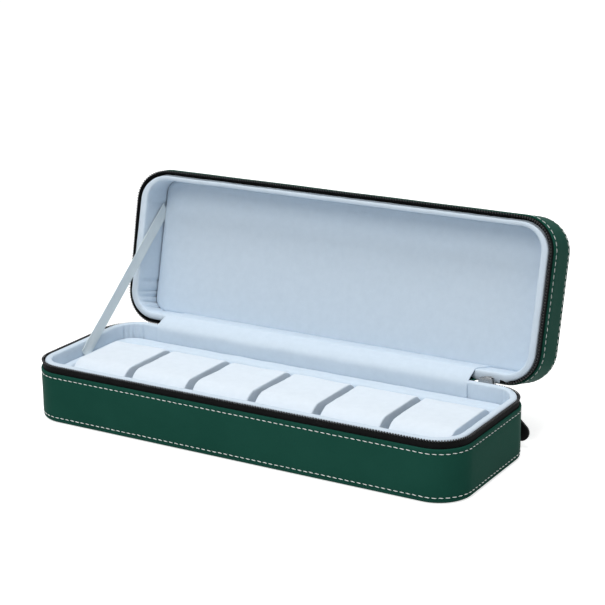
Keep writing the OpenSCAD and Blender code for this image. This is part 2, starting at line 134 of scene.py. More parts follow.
# ---- Leather walls ----
# Each half of the case has one long leather strip wrapped round its board and joined at the
# back. Its upper edge is folded over the tape, and a row of thread runs along both edges.
shell_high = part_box("base_leather_wall")[1]
half_length = shell_high.x
half_depth = shell_high.y
corner_radius = 23 * mm
run_x = half_length - corner_radius
run_y = half_depth - corner_radius
quarter_turn = corner_radius * math.pi / 2
outline_length = 4 * run_x + 4 * run_y + 2 * math.pi * corner_radius
base_leather_top = shell_high.z
lid_leather_top = 27 * mm
tape_stand = 6 * mm
seam_level = base_leather_top + tape_stand
shut_height = seam_level + tape_stand + lid_leather_top
hinge = next(j for j in frame["joints"] if j["name"] == "lid_hinge")
hinge_point = Vector(hinge["pos_m"])
lid_open = math.radians(-hinge["range_deg"][0])
lid_swing = (Matrix.Translation(hinge_point) @ Matrix.Rotation(-lid_open, 4, "X")
             @ Matrix.Translation(-hinge_point))
lid_place = lid_swing @ Matrix.Translation((0, 0, shut_height)) @ Matrix.Diagonal((1, 1, -1, 1))


def outward(x, y):
    """Direction square to the case's outline at a point on it or in its wall."""
    over_x = max(abs(x) - run_x, 0) * math.copysign(1, x)
    over_y = max(abs(y) - run_y, 0) * math.copysign(1, y)
    return Vector((over_x, over_y, 0)).normalized()


def along_outline(x, y):
    """Distance round the outline from the middle of the back, by way of the left end."""
    out = outward(x, y)
    if abs(x) > run_x and abs(y) > run_y:
        turned = (math.atan2(out.y, out.x) - math.pi / 2) % (2 * math.pi)
        quarter = int(turned / (math.pi / 2))
        before = (run_x, run_x + quarter_turn + 2 * run_y, 3 * run_x + 2 * quarter_turn + 2 * run_y,
                  3 * run_x + 3 * quarter_turn + 4 * run_y)[quarter]
        return before + corner_radius * (turned - quarter * math.pi / 2)
    if abs(out.y) > 0.5:
        if y > 0:
            return -x if x <= 0 else 4 * run_x + 4 * quarter_turn + 4 * run_y - x
        return 2 * run_x + 2 * quarter_turn + 2 * run_y + x
    if x < 0:
        return run_x + quarter_turn + run_y - y
    return 3 * run_x + 3 * quarter_turn + 3 * run_y + y


def on_outline(distance, depth):
    """Point and outward direction at a distance along the outline, drawn in by a depth."""
    corner = (quarter_turn, True)
    end = (2 * run_y, False)
    stretches = ((run_x, False), corner, end, corner, (2 * run_x, False), corner, end, corner,
                 (run_x, False))
    point, heading = Vector((0, half_depth, 0)), math.pi
    left = distance % outline_length
    for length, bends in stretches:
        step = min(left, length)
        out = Vector((math.sin(heading), -math.cos(heading), 0))
        if bends:
            centre = point - out * corner_radius
            heading += step / corner_radius
            out = Vector((math.sin(heading), -math.cos(heading), 0))
            point = centre + out * corner_radius
        else:
            point = point + Vector((math.cos(heading), math.sin(heading), 0)) * step
        left -= step
        if left <= 1e-9:
            break
    return point - out * depth, out


def select_edges(piece, test):
    """Selects the edges of the piece in edit mode that pass a test."""
    bpy.ops.mesh.select_mode(type="EDGE")
    bpy.ops.mesh.select_all(action="DESELECT")
    for edge in bmesh.from_edit_mesh(piece.data).edges:
        if test(edge):
            edge.select_set(True)
    bmesh.update_edit_mesh(piece.data)


def keep_values(piece, name, value_at):
    """Keeps a number at each vertex, worked out from its place, for the material to read."""
    kept = piece.data.attributes.new(name, "FLOAT", "POINT")
    for v in piece.data.vertices:
        kept.data[v.index].value = value_at(v.co)


def wrapped_ring(name, profile, spacing=6 * mm, corner_steps=14, closed=True):
    """Ring round the case: a rounded outline extruded through a profile of (depth, level)."""
    depth, level = profile[0]
    bpy.ops.mesh.primitive_plane_add(size=2, location=(0, 0, level))
    piece = bpy.context.object
    piece.name = name
    piece.scale = (half_length - depth, half_depth - depth, 1)
    bpy.ops.object.transform_apply()
    bpy.ops.object.mode_set(mode="EDIT")
    bpy.ops.mesh.select_all(action="SELECT")
    bpy.ops.mesh.bevel(offset=corner_radius - depth, segments=corner_steps, affect="VERTICES")
    bpy.ops.mesh.delete(type="ONLY_FACE")
    for length in (2 * run_x, 2 * run_y):
        select_edges(piece, lambda e: abs(e.calc_length() - length) < 0.1 * mm)
        bpy.ops.mesh.subdivide(number_cuts=round(length / spacing) - 1)
    bpy.ops.mesh.select_all(action="SELECT")
    mesh = bmesh.from_edit_mesh(piece.data)
    mesh.verts.layers.float.new("across")
    travelled = 0
    for (depth, level), (next_depth, next_level) in zip(profile, profile[1:]):
        rise = {"value": (0, 0, next_level - level)}
        bpy.ops.mesh.extrude_edges_move(TRANSFORM_OT_translate=rise)
        travelled += math.hypot(next_depth - depth, next_level - level)
        mesh = bmesh.from_edit_mesh(piece.data)
        across = mesh.verts.layers.float["across"]
        for v in mesh.verts:
            if v.select:
                v.co += outward(v.co.x, v.co.y) * (depth - next_depth)
                v[across] = travelled
        bmesh.update_edit_mesh(piece.data)
    bpy.ops.mesh.select_all(action="SELECT")
    if closed:
        bpy.ops.mesh.remove_doubles(threshold=0.01 * mm)
    bpy.ops.mesh.normals_make_consistent(inside=False)
    bpy.ops.object.mode_set(mode="OBJECT")
    keep_values(piece, "along", lambda co: along_outline(co.x, co.y))
    bpy.ops.object.shade_smooth()
    return piece


def mm_profile(*points):
    """A profile given in millimetres, in metres."""
    return [(depth * mm, level * mm) for depth, level in points]


def swing_to_lid(piece):
    """Moves a piece drawn on the base's levels to its place in the open lid."""
    piece.data.transform(lid_place)
    piece.data.flip_normals()
    piece.data.update()


def shader_of(material):
    return material.node_tree.nodes["Principled BSDF"]


def new_finish(name, colour, roughness, specular, sheen=0.0):
    """A material with its constant values on the shader's own sockets."""
    material = bpy.data.materials.new(name)
    material.use_nodes = True
    shader = shader_of(material)
    shader.inputs["Base Color"].default_value = (*colour, 1)
    shader.inputs["Roughness"].default_value = roughness
    shader.inputs["Specular IOR Level"].default_value = specular
    shader.inputs["Sheen Weight"].default_value = sheen
    return material


def add_node(material, kind, inputs=(), **settings):
    """Adds a node, sets its options, and sets or links its inputs by name or number."""
    node = material.node_tree.nodes.new(kind)
    for option, value in settings.items():
        setattr(node, option, value)
    for socket, value in dict(inputs).items():
        if isinstance(value, bpy.types.NodeSocket):
            material.node_tree.links.new(value, node.inputs[socket])
        else:
            node.inputs[socket].default_value = value
    return node


def object_place(material):
    return add_node(material, "ShaderNodeTexCoord").outputs["Object"]


def speckle(material, scale, detail=2.0, **more):
    """Noise over the piece, at a scale in cycles to the metre."""
    inputs = {"Vector": object_place(material), "Scale": scale, "Detail": detail, **more}
    return add_node(material, "ShaderNodeTexNoise", inputs).outputs["Fac"]


def between(material, source, low, high):
    """A value spread from a low to a high one by a texture."""
    inputs = {"Value": source, "To Min": low, "To Max": high}
    return add_node(material, "ShaderNodeMapRange", inputs).outputs["Result"]


def vary_colour(material, size, dark, light):
    """Drifts the base colour between two tones over patches of a given size."""
    drift = speckle(material, 1 / size, 3.0, Roughness=0.6)
    tones = add_node(material, "ShaderNodeValToRGB", {"Fac": drift})
    for stop, place, tone in zip(tones.color_ramp.elements, (0.3, 0.7), (dark, light)):
        stop.position = place
        stop.color = (*tone, 1)
    return tones.outputs["Color"]


def add_bump(material, height, depth, under=None):
    """A bump of a real depth in metres, laid over another bump if one is given."""
    inputs = {"Height": height, "Distance": depth, "Strength": 1.0}
    if under is not None:
        inputs["Normal"] = under
    return add_node(material, "ShaderNodeBump", inputs).outputs["Normal"]


def set_shader(material, **sources):
    for socket, source in sources.items():
        material.node_tree.links.new(source, shader_of(material).inputs[socket.replace("_", " ")])


def leather_finish(name, dark, light, grain, roughness, index):
    """Coated leather: a fine pebble grain, soft creases and a slow drift of tone."""
    material = new_finish(name, light, roughness, 0.5)
    shader_of(material).inputs["IOR"].default_value = index
    pebbles = add_node(material, "ShaderNodeTexVoronoi",
                       {"Vector": object_place(material), "Scale": 1 / grain}, feature="SMOOTH_F1")
    creases = speckle(material, 90.0, 4.0, Distortion=1.0)
    broad = add_bump(material, creases, 0.10 * mm)
    fine = add_bump(material, pebbles.outputs["Distance"], 0.05 * mm, broad)
    finest = add_bump(material, speckle(material, 3 / grain), 0.02 * mm, fine)
    set_shader(material, Base_Color=vary_colour(material, 45 * mm, dark, light), Normal=finest,
               Roughness=between(material, creases, roughness - 0.06, roughness + 0.08))
    return material


green_leather = leather_finish("green_leather", (0.0105, 0.064, 0.046), (0.0135, 0.074, 0.054),
                               0.9 * mm, roughness=0.42, index=1.05)
lid_draft = 0.7 * mm
leather_sway = 0.22 * mm


def draw_in_lid_front(piece):
    """Leans the front of the shut lid in towards its top panel."""
    for v in piece.data.vertices:
        out = outward(v.co.x, v.co.y)
        if out.y < 0:
            v.co -= out * out.y ** 2 * lid_draft * min(max(1 - v.co.z / lid_leather_top, 0), 1)


def gusset(name, leather_top):
    """Leather wall strip: folded over at the top, drawn in along its two rows of thread."""
    top = leather_top / mm
    profile = mm_profile(
        (1.3, 4.2), (1.05, 2.8), (0.55, 2.5), (0.12, 2.8), (0.0, 3.2), (0.16, 4.0), (-0.02, 4.9),
        (-0.12, 6.5), (-0.1, 10), (-0.04, top / 2), (-0.1, top - 8), (-0.12, top - 4.9),
        (-0.02, top - 3.5), (0.18, top - 2.6), (-0.02, top - 1.8), (-0.2, top - 1.1),
        (-0.22, top - 0.5), (-0.05, top + 0.15), (0.4, top + 0.48), (0.9, top + 0.4),
        (1.2, top), (1.25, top - 8), (1.3, 4.2))
    piece = wrapped_ring(name, profile)
    for v in piece.data.vertices:
        sway = noise.noise(v.co / (38 * mm))
        v.co += outward(v.co.x, v.co.y) * sway * leather_sway
    return piece


def stand_in(piece, material, body, node):
    """Puts a piece on a body, if it has one, for a solid."""
    piece.data.materials.append(material)
    if body:
        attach(piece, body)
    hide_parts(node)


base_gusset = gusset("base_gusset_leather", base_leather_top)
stand_in(base_gusset, green_leather, "base", "base_leather_wall")

lid_gusset = gusset("lid_gusset_leather", lid_leather_top)
draw_in_lid_front(lid_gusset)
swing_to_lid(lid_gusset)
stand_in(lid_gusset, green_leather, "lid", "lid_leather_wall")


# ---- Leather panels ----
# The flat bottom of the base and the flat top of the lid are cut with rounded corners. Their
# edges are turned round the board and sewn to the wall strip, which leaves a fine crease.
panel_edge = 2.4
turned_edge = [(panel_edge - (panel_edge - 0.06) * math.cos(math.radians(angle)),
                panel_edge + 0.1 - panel_edge * math.sin(math.radians(angle)))
               for angle in (0, 18, 36, 54, 72)]


def edged_panel(name):
    profile = mm_profile((14, 1.2), (2.9, 1.2), (1.6, 1.7), (1.2, 2.55), (0.7, 2.75), (0.3, 2.7),
                         *turned_edge, (panel_edge, 0.03), (5, 0), (14, 0))
    piece = wrapped_ring(name, profile, closed=False)
    bpy.ops.object.mode_set(mode="EDIT")
    bpy.ops.mesh.select_all(action="SELECT")
    bpy.ops.mesh.fill_holes(sides=0)
    bpy.ops.mesh.select_all(action="SELECT")
    bpy.ops.mesh.normals_make_consistent(inside=False)
    bpy.ops.object.mode_set(mode="OBJECT")
    return piece


bottom_panel = edged_panel("base_bottom_leather")
stand_in(bottom_panel, green_leather, "base", "base_bottom_panel")

top_panel = edged_panel("lid_top_leather")
draw_in_lid_front(top_panel)
swing_to_lid(top_panel)
stand_in(top_panel, green_leather, "lid", "lid_top_panel")


# ---- Stitching ----
# White lockstitch holds the walls to the tape and to the panels. Each stitch is a short thick
# thread that sinks into the leather at both ends and lies a little aslant.
stitch_pitch = 4.2 * mm
stitch_length = 3.1 * mm
stitch_width = 0.55 * mm
stitch_slant = math.radians(5)
slant_wander = math.radians(4)
level_wander = 0.12 * mm
low_row_level = 4.0 * mm
row_below_top = 2.6 * mm

white_thread = new_finish("white_thread", (0.92, 0.94, 0.92), 0.7, 0.25, sheen=0.2)


def bands(material, place, scale, direction, distortion=0.0):
    """Threads side by side in one direction, at a scale in cycles to the metre."""
    inputs = {"Vector": place, "Scale": scale, "Distortion": distortion}
    return add_node(material, "ShaderNodeTexWave", inputs, bands_direction=direction).outputs["Fac"]


strands = bands(white_thread, object_place(white_thread), 1400.0, "DIAGONAL", 1.0)
set_shader(white_thread, Normal=add_bump(white_thread, strands, 0.05 * mm))


def make_active(piece):
    bpy.ops.object.select_all(action="DESELECT")
    piece.select_set(True)
    bpy.context.view_layer.objects.active = piece


def copies_joined(unit, places, name):
    """Copies a unit to each place, each with its own mesh, and joins the copies."""
    made = []
    for place in places:
        copy = unit.copy()
        copy.data = unit.data.copy()
        copy.data.transform(place)
        bpy.context.collection.objects.link(copy)
        made.append(copy)
    bpy.data.objects.remove(unit)
    make_active(made[0])
    for copy in made[1:]:
        copy.select_set(True)
    bpy.ops.object.join()
    piece = bpy.context.object
    piece.name = name
    return piece


def place_on_outline(distance, depth, level, slant=0.0):
    """Matrix of a unit drawn along X with Y outwards, laid on the wall at a distance round it."""
    point, out = on_outline(distance, depth)
    onward = Vector((-out.y, out.x, 0))
    turned = Matrix((onward, out, Vector((0, 0, 1)))).transposed().to_4x4()
    place = Matrix.Translation(point + Vector((0, 0, level)))
    return place @ turned @ Matrix.Rotation(slant, 4, "Y")


def stitch_rows(name, leather_top):
    bpy.ops.mesh.primitive_uv_sphere_add(segments=8, ring_count=6, radius=0.5)
    stitch = bpy.context.object
    stitch.data.transform(Matrix.Diagonal((stitch_length, stitch_width, stitch_width, 1))
                          @ Matrix.Rotation(math.pi / 2, 4, "Y"))
    bpy.ops.object.shade_smooth()
    stitch.data.materials.append(white_thread)
    count = round(outline_length / stitch_pitch)
    places = []
    for level in (low_row_level, leather_top - row_below_top):
        for k in range(count):
            uneven = noise.noise(Vector((k * 1.7, level / mm, 0.3)))
            places.append(place_on_outline(k * outline_length / count, 0.0,
                                           level + level_wander * uneven,
                                           stitch_slant + slant_wander * uneven))
    return copies_joined(stitch, places, name)


base_thread = stitch_rows("base_stitching", base_leather_top)
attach(base_thread, "base")
lid_thread = stitch_rows("lid_stitching", lid_leather_top)
draw_in_lid_front(lid_thread)
swing_to_lid(lid_thread)
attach(lid_thread, "lid")


# ---- Zip tapes ----
# Black woven polyester tape stands out of the leather fold round the front, both ends and the
# back corners. Its lower edge is sewn in; its free edge carries the coil.
tape_back_low_x = -120.4 * mm
base_tape_back_high_x = 118 * mm
lid_tape_back_high_x = 137 * mm

tape_black = new_finish("woven_tape", (0.005, 0.0055, 0.006), 0.8, 0.08)


def cloth_place(material):
    """A place on the cloth, measured along and across its length."""
    along, across = [add_node(material, "ShaderNodeAttribute", attribute_name=name).outputs["Fac"]
                     for name in ("along", "across")]
    return add_node(material, "ShaderNodeCombineXYZ", {"X": along, "Y": across}).outputs["Vector"]


weave_place = cloth_place(tape_black)
twill = bands(tape_black, weave_place, 420.0, "DIAGONAL", 0.6)
ribs = bands(tape_black, weave_place, 260.0, "Y")
woven = add_bump(tape_black, twill, 0.10 * mm, add_bump(tape_black, ribs, 0.12 * mm))
set_shader(tape_black, Normal=woven,
           Base_Color=vary_colour(tape_black, 9 * mm, (0.004, 0.0043, 0.0046),
                                  (0.007, 0.0075, 0.008)))


def tape_lean(x, y, front, left, right, back):
    """How far the free edge of the tape stands out from its seam, from its lean on each side."""
    out = outward(x, y)
    along_x = max(math.cos(x / run_x * math.pi / 2), 0) ** 0.3
    along_y = max(math.cos(y / run_y * math.pi / 2), 0) ** 0.5
    end_lean = left * (0.5 - 0.5 * y / half_depth) ** 0.7 if out.x < 0 else right * along_y
    side_lean = front * along_x if out.y < 0 else (back if x < 0 else 0)
    sway = 0.2 * noise.noise(Vector((x, y, 0)) / (17 * mm))
    return (0.25 + out.x ** 2 * end_lean + out.y ** 2 * side_lean + sway) * mm


def apply_all(piece):
    make_active(piece)
    for modifier in list(piece.modifiers):
        bpy.ops.object.modifier_apply(modifier=modifier.name)


def box_between(low, high):
    """A plain box from one corner to the other, to be cut with or shaped further."""
    bpy.ops.mesh.primitive_cube_add(size=1, location=(Vector(low) + Vector(high)) / 2)
    box = bpy.context.object
    box.scale = Vector(high) - Vector(low)
    bpy.ops.object.transform_apply()
    return box


def cut_out(piece, block):
    """Cuts a closed block out of a closed piece and leaves it closed."""
    cut = piece.modifiers.new("cut", "BOOLEAN")
    cut.operation = "DIFFERENCE"
    cut.object = block
    apply_all(piece)
    bpy.data.objects.remove(block)


def tape_strip(name, leather_top, back_high_x, leans):
    top = leather_top / mm
    profile = mm_profile((2.0, top - 1.5), (1.25, top - 1.5), (1.22, top + 1), (1.18, top + 2.6),
                         (1.26, top + 4.6), (1.4, top + 4.95), (1.8, top + 4.95), (1.98, top + 4.6),
                         (2.02, top + 2.2), (4.3, top + 1.6), (4.3, top + 1.15), (2.1, top + 1.15),
                         (2.0, top - 1.5))
    piece = wrapped_ring(name, profile, spacing=4 * mm)
    for v in piece.data.vertices:
        raised = max(v.co.z - leather_top, 0) / tape_stand
        v.co += outward(v.co.x, v.co.y) * tape_lean(v.co.x, v.co.y, *leans) * raised
    cut_out(piece, box_between((tape_back_low_x, half_depth - 8 * mm, 0),
                               (back_high_x, half_depth + 8 * mm, seam_level + 9 * mm)))
    bpy.ops.object.shade_smooth_by_angle(angle=math.radians(40))
    return piece


base_leans = (0.7, 0.5, 0.1, 0.4)
lid_leans = (0.75, 3.2, 0.3, 1.1)
base_tape = tape_strip("base_tape", base_leather_top, base_tape_back_high_x, base_leans)
stand_in(base_tape, tape_black, "base", "base_zip_tape")

lid_tape = tape_strip("lid_tape", lid_leather_top, lid_tape_back_high_x, lid_leans)
swing_to_lid(lid_tape)
stand_in(lid_tape, tape_black, "lid", "lid_zip_tape")


# ---- Zip coils ----
# The teeth are one nylon filament wound round a cord and sewn to the edge of the tape. Every
# turn is a flattened loop, set a little aslant, and the two coils mesh when the case is shut.
coil_pitch = 1.9 * mm
coil_slant = math.radians(14)
coil_below_seam = 0.82 * mm
coil_depth = 1.6 * mm
base_coil_back_high_x = 134.3 * mm
lid_coil_back_high_x = 139 * mm
coil_black = new_finish("nylon_coil", (0.016, 0.016, 0.018), 0.25, 0.5)
filament = speckle(coil_black, 1500.0)
set_shader(coil_black, Roughness=between(coil_black, filament, 0.2, 0.4),
           Normal=add_bump(coil_black, filament, 0.02 * mm))


def coil_turns(name, leather_top, back_high_x, leans):
    bpy.ops.mesh.primitive_torus_add(major_segments=9, minor_segments=5,
                                     major_radius=0.58 * mm, minor_radius=0.32 * mm)
    turn = bpy.context.object
    turn.data.transform(Matrix.Rotation(math.pi / 2, 4, "Y"))
    turn.data.transform(Matrix.Diagonal((1.15, 1, 0.84, 1)))
    bpy.ops.object.shade_smooth()
    turn_aslant = Matrix.Rotation(coil_slant, 4, "Z")
    level = leather_top + tape_stand - coil_below_seam
    first, last = -tape_back_low_x, outline_length - back_high_x
    count = round((last - first) / coil_pitch)
    places = []
    for k in range(count):
        distance = first + (k + 0.5) * (last - first) / count
        edge = on_outline(distance, 0)[0]
        lean = tape_lean(edge.x, edge.y, *leans) * (level - leather_top) / tape_stand
        places.append(place_on_outline(distance, coil_depth - lean, level) @ turn_aslant)
    return copies_joined(turn, places, name)


base_coil = coil_turns("base_coil", base_leather_top, base_coil_back_high_x, base_leans)
stand_in(base_coil, coil_black, "base", "base_zip_coil")

lid_coil = coil_turns("lid_coil", lid_leather_top, lid_coil_back_high_x, lid_leans)
swing_to_lid(lid_coil)
stand_in(lid_coil, coil_black, "lid", "lid_zip_coil")


# ---- Velvet wall linings ----
# Short-pile velvet over thin foam lines the inside of each wall and rolls over its board into
# a soft rim. It is gathered where it goes round the corners, and sewn where two lengths meet.
def velvet_finish(name, dark, light):
    """Short pile: a soft sheen at the edges, brushed patches and a fine uneven nap."""
    material = new_finish(name, light, 0.95, 0.15, sheen=0.25)
    shader_of(material).inputs["Sheen Roughness"].default_value = 0.45
    soft = add_bump(material, speckle(material, 70.0, 5.0, Roughness=0.65), 0.12 * mm)
    nap = add_bump(material, speckle(material, 1500.0, 3.0, Roughness=0.7), 0.09 * mm, soft)
    set_shader(material, Base_Color=vary_colour(material, 5 * mm, dark, light), Normal=nap)
    return material


lining_velvet = velvet_finish("lining_velvet", (0.60, 0.695, 0.79), (0.63, 0.725, 0.82))
lining_depth = 7.5
rolled_rim = ((3.1, 5.2), (2.95, 4.8), (2.75, 4.3), (2.7, 3.4), (2.7, 2.4), (2.75, 1.5),
              (3.0, 0.85), (3.5, 0.45), (4.3, 0.25), (5.3, 0.2), (6.2, 0.25), (6.85, 0.45),
              (7.25, 0.85))
fine_wave = 0.14 * mm
broad_wave = 0.28 * mm


def sharper_corner(out, inner_radius, corner):
    """How far a corner of the smaller radius lies outside the wall's own round corner."""
    leading, trailing = max(abs(out.x), abs(out.y)), min(abs(out.x), abs(out.y))
    shift = inner_radius - corner
    straight = inner_radius / leading
    if straight * trailing <= shift:
        return straight - inner_radius
    lead = shift * (leading + trailing)
    return lead + math.sqrt(lead ** 2 - 2 * shift ** 2 + corner ** 2) - inner_radius


def wall_lining(name, leather_top, foot, gathers, corner, front_gap, left_fill, back_rise):
    """Lining ring; gathers lists (x, y, width, depth) of upright creases, in millimetres."""
    rim = (leather_top + tape_stand) / mm
    profile = mm_profile(
        (3.1, 4.2), (3.1, 20), *((depth, rim - drop) for depth, drop in rolled_rim),
        *((lining_depth, rim - drop) for drop in (1.5, 4.5, 7, 9.5, 13, 18, 23)),
        (7.4, 5.0), (6.6, 4.2), (3.1, 4.2))
    piece = wrapped_ring(name, profile, spacing=1.3 * mm, corner_steps=36)

    def reach(last):
        """Length of the profile from its start to one of its points."""
        return sum(math.dist(p, q) for p, q in zip(profile[:last], profile[1:last + 1]))

    outer_start, crown, foot_corner = reach(3), reach(11), reach(len(profile) - 2) + 0.1 * mm
    across = piece.data.attributes["across"].data
    creases = [(along_outline(x * mm, y * mm), width * mm, depth * mm)
               for x, y, width, depth in gathers]
    for v in piece.data.vertices:
        place, out = v.co.copy(), outward(v.co.x, v.co.y)
        travelled = across[v.index].value
        fine, broad = noise.noise(place / (9 * mm)), noise.noise(place / (31 * mm))
        move = fine_wave * fine + broad_wave * broad
        if crown < travelled < foot_corner:
            fall = min(max((rim * mm - place.z) / (rim * mm - foot), 0), 1)
            distance = along_outline(place.x, place.y)
            for at, width, depth in creases:
                move += depth * min(2.2 * fall, 1) * math.exp(-abs(distance - at) / width)
            if abs(out.x * out.y) > 1e-4:
                move += fall * sharper_corner(out, corner_radius - lining_depth * mm, corner)
        rim_share = min(max((place.z / mm - rim + 5) / 2, 0), 1)
        outer_share = min(max(1.6 * (crown - travelled) / (crown - outer_start), 0), 1) * rim_share
        if out.y < 0:
            move -= front_gap * mm * out.y ** 2 * outer_share
        if out.x < 0:
            move += left_fill * mm * out.x ** 2 * outer_share
        v.co += out * move
        rise = 0.25 * noise.noise(place / (23 * mm)) + back_rise * max(out.y, 0) ** 2
        v.co.z += rise * mm * rim_share
    return piece


ledge_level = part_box("tray_frame")[1].z
base_gathers = ((-128, 55, 0.5, 0.8), (118, 55, 0.4, 0.4), (145, 54, 0.5, 0.8),
                (-139, 54, 0.8, 1.6), (-143, 53, 0.7, 1.2), (-147.5, 51, 0.9, 1.8),
                (-151.5, 48.5, 0.7, 1.4), (-155, 44.5, 0.9, 1.5), (-158, -38, 0.8, 1.5),
                (-155, -45, 0.9, 1.8), (-149, -51, 0.9, 1.4), (154, 46, 0.9, 1.2),
                (149, 51, 0.9, 1.1))
base_lining = wall_lining("base_wall_velvet", base_leather_top, ledge_level, base_gathers, 15 * mm,
                          front_gap=0.0, left_fill=0.0, back_rise=1.0)

panel_level = 9 * mm
lid_gathers = ((-160, -30, 0.9, 1.3), (-160, 27, 0.8, 1.1), (-159, 35, 0.8, 1.1),
               (-157.5, 40, 0.8, 1.4), (-155, 44.5, 0.8, 1.4), (-151, 49, 0.8, 1.4),
               (-146, 52.5, 0.9, 1.0), (143, 54, 0.5, 0.7), (152, 48, 1.1, 0.9))
lid_lining = wall_lining("lid_wall_velvet", lid_leather_top, panel_level, lid_gathers, 10 * mm,
                         front_gap=2.5, left_fill=1.3, back_rise=0.0)

hinge_low_x = -120 * mm
hinge_high_x = 115 * mm
rim_cut = 3.4 * mm
for lining, rim_level in ((base_lining, seam_level), (lid_lining, lid_leather_top + tape_stand)):
    cut_out(lining, box_between((hinge_low_x, half_depth - 9 * mm, rim_level - rim_cut),
                                (hinge_high_x, half_depth + 2 * mm, rim_level + 9 * mm)))

# Beside the hinge's right end the lid's lining is fuller, down to the zip's parked slider.
fuller_low_x = 113
fuller_high_x = 142
fuller_move = 2.0 * mm
for v in lid_lining.data.vertices:
    x = v.co.x / mm
    if (fuller_low_x < x < fuller_high_x and v.co.y > half_depth - 3.6 * mm
            and v.co.z > lid_leather_top + 1.2 * mm):
        v.co.y += fuller_move * min((x - fuller_low_x) / 4, (fuller_high_x - x) / 5, 1)
swing_to_lid(lid_lining)

stand_in(base_lining, lining_velvet, "base", "base_lining_wall")
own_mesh(base_lining)
stand_in(lid_lining, lining_velvet, "lid", "lid_lining_wall")
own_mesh(lid_lining)


# ---- Tray ----
# A velvet-wrapped frame fills the base round the row of pillows, and its top is the ledge.
# Thin padded dividers stand between the slots on a velvet floor pad.
ledge_low, ledge_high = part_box("tray_frame")
slot_room = Vector((1.5 * mm, 1.0 * mm, 0))
slot_row_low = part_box("pillow_1_cover")[0] - slot_room
slot_row_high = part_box("pillow_6_cover")[1] + slot_room
slot_row_low.z = ledge_low.z - 2 * mm
slot_row_high.z = ledge_high.z + 2 * mm
frame_corner = corner_radius - (half_length - ledge_high.x)


def edge_way(edge):
    return (edge.verts[0].co - edge.verts[1].co).normalized()


def rounded_slab(name, low, high, radius, steps=10):
    """Slab with rounded upright corners: a cube whose four upright edges are bevelled."""
    piece = box_between(low, high)
    piece.name = name
    bpy.ops.object.mode_set(mode="EDIT")
    select_edges(piece, lambda e: abs(edge_way(e).z) > 0.9)
    bpy.ops.mesh.bevel(offset=radius, segments=steps, affect="EDGES")
    bpy.ops.object.mode_set(mode="OBJECT")
    return piece


def bevel_edges(piece, width, segments, sharp=35):
    """Rounds the edges that turn by more than an angle in degrees, and shades the rest smooth."""
    edge = piece.modifiers.new("edge", "BEVEL")
    edge.width = width
    edge.segments = segments
    edge.limit_method = "ANGLE"
    edge.angle_limit = math.radians(sharp)
    apply_all(piece)
    bpy.ops.object.shade_smooth_by_angle(angle=math.radians(sharp))


def soften(piece, voxel, rounds):
    """Even small faces all over a piece, with its edges eased as foam under cloth eases them."""
    remesh = piece.modifiers.new("even", "REMESH")
    remesh.mode = "VOXEL"
    remesh.voxel_size = voxel
    ease = piece.modifiers.new("ease", "SMOOTH")
    ease.factor = 0.5
    ease.iterations = rounds
    apply_all(piece)
    bpy.ops.object.shade_smooth()


tray = rounded_slab("tray_ledge_velvet", ledge_low, ledge_high, frame_corner, steps=14)
cut_out(tray, rounded_slab("hole", slot_row_low, slot_row_high, radius=3 * mm))
soften(tray, voxel=1.9 * mm, rounds=5)
for v in tray.data.vertices:
    if v.co.z > ledge_high.z - 3 * mm:
        v.co.z += 0.35 * mm * noise.noise(Vector((v.co.x, v.co.y, 0)) / (16 * mm))
stand_in(tray, lining_velvet, "base", "tray_frame")

pad_low, pad_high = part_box("base_floor_pad")
floor_pad = rounded_slab("floor_pad_velvet", pad_low, pad_high, frame_corner, steps=12)
bevel_edges(floor_pad, width=0.7 * mm, segments=3)
stand_in(floor_pad, lining_velvet, "base", "base_floor_pad")

divider_low, divider_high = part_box("tray_dividers")
slot_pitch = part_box("pillow_2_cover")[0].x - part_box("pillow_1_cover")[0].x
half_divider = 1 * mm
divider_end_gap = 1.1 * mm
divider = box_between((-half_divider, divider_low.y + divider_end_gap, divider_low.z),
                      (half_divider, divider_high.y - divider_end_gap, divider_high.z))
bevel_edges(divider, width=0.9 * mm, segments=4)
divider_places = [Matrix.Translation((k * slot_pitch, 0, 0)) for k in range(-2, 3)]
dividers = copies_joined(divider, divider_places, "divider_velvet")
stand_in(dividers, lining_velvet, "base", "tray_dividers")


# ---- Watch pillows ----
# Six foam blocks in white velvet covers. One long panel wraps the front, top and back of each,
# and two flat side panels are sewn to it, so the top crowns between its two side seams.
cushion_half_w = 21.2 * mm
cushion_half_l = 32.0 * mm
cushion_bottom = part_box("pillow_1_cover")[0].z + 0.3 * mm
cushion_top = 35.6 * mm
shoulder_in = 9.2 * mm
shoulder_down = 8.2 * mm
pillow_sway = 0.45 * mm
seam_pucker = 0.22 * mm

pillow_velvet = velvet_finish("pillow_velvet", (0.72, 0.79, 0.86), (0.75, 0.82, 0.89))

cushion = box_between((-cushion_half_w, -cushion_half_l, cushion_bottom),
                      (cushion_half_w, cushion_half_l, cushion_top))
bpy.ops.object.mode_set(mode="EDIT")


def along_x(edge, low_z, high_z):
    middle = (edge.verts[0].co.z + edge.verts[1].co.z) / 2
    return abs(edge_way(edge).x) > 0.9 and low_z < middle < high_z


